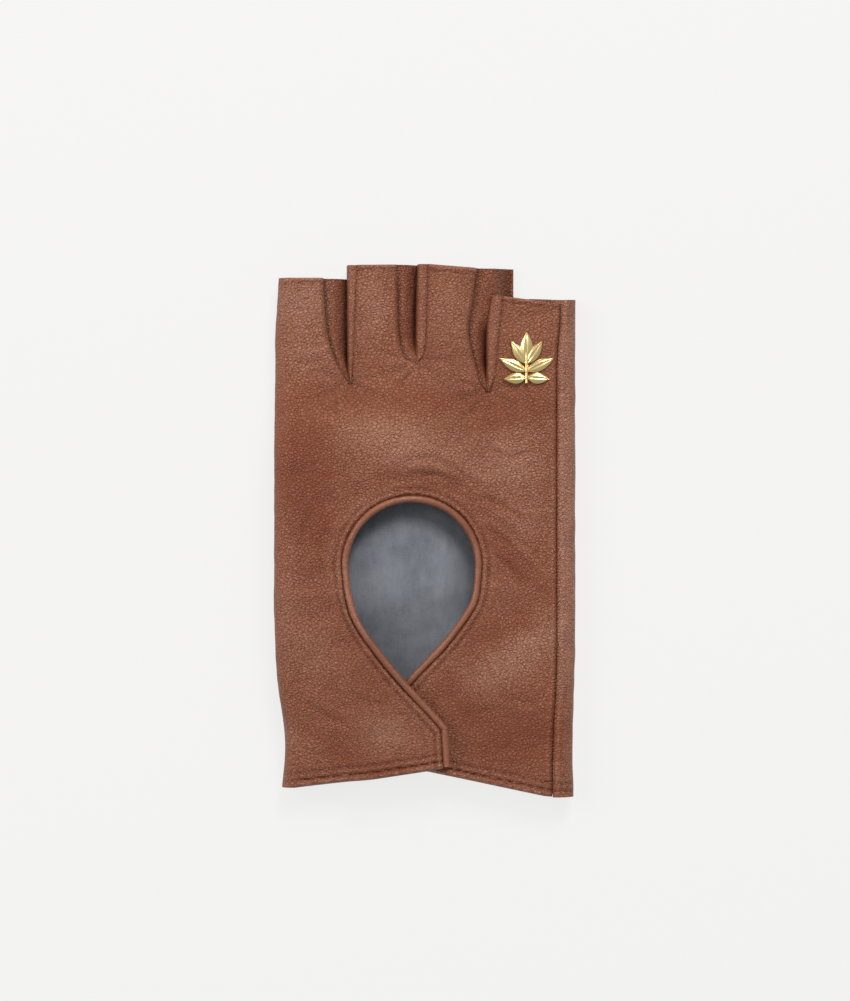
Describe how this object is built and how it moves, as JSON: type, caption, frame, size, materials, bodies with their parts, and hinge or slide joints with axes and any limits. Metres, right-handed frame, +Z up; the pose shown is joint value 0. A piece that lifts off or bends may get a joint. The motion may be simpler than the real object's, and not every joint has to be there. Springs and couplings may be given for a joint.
{
  "type": "fingerless driving glove",
  "caption": "Fingerless brown leather driving glove with a keyhole opening on the back, crossed wrist flaps and a small leafy ornament.",
  "frame": {"origin": "middle of the glove's length and width, at the bottom of the side it lies on", "axes": "+Y to the finger ends, +X to the little finger, +Z up out of the back of the hand"},
  "size_m": [0.0905, 0.1607, 0.0174],
  "materials": {
    "leather": "smooth fine-grained brown lambskin, satin",
    "facing_leather": "flesh side of the leather, matt",
    "suede_lining": "blue-grey suede-like lining, napped and matt",
    "elastic": "woven elastic band, matt",
    "thread": "brown sewing thread",
    "gilt_metal": "polished gold-coloured plating",
    "fastener_metal": "plated press fastener"
  },
  "bodies": {
    "root": {"back_panel": "leather", "back_lining": "suede_lining", "palm_panel": "leather", "palm_lining": "suede_lining", "fourchette_index_middle": "leather", "fourchette_middle_ring": "leather", "fourchette_ring_little": "leather", "wrist_elastic": "elastic", "keyhole_binding": "leather", "keyhole_thread": "thread", "side_seam_thread": "thread", "left_hem_thread": "thread", "right_hem_thread": "thread", "emblem": "gilt_metal", "emblem_backing": "gilt_metal"},
    "thumb": {"thumb_stall": "leather"},
    "top_flap_body": {"top_flap": "leather", "top_flap_facing": "facing_leather", "top_flap_binding": "leather", "top_flap_thread": "thread", "press_socket": "fastener_metal"},
    "under_flap_body": {"under_flap": "leather", "under_flap_facing": "facing_leather", "under_flap_binding": "leather", "under_flap_thread": "thread", "press_stud": "fastener_metal", "stud_cap": "fastener_metal"}
  },
  "joints": [
    {"name": "top_flap_fold", "type": "hinge", "parent": "root", "child": "top_flap_body", "pos_m": [-0.02505, -0.02, 0.01475], "axis": [0, -0.9933, -0.1153], "range_deg": [0, 95]},
    {"name": "under_flap_fold", "type": "hinge", "parent": "root", "child": "under_flap_body", "pos_m": [0.01725, -0.045, 0.00859], "axis": [0, 1, 0], "range_deg": [0, 19]},
    {"name": "thumb_swing", "type": "hinge", "parent": "root", "child": "thumb", "pos_m": [-0.0295, -0.026, 0.003], "axis": [0, 0, 1], "range_deg": [0, 45]}
  ],
  "couplings": [
    {"joint": "under_flap_fold", "follows": "top_flap_fold", "ratio": 0.2}
  ]
}
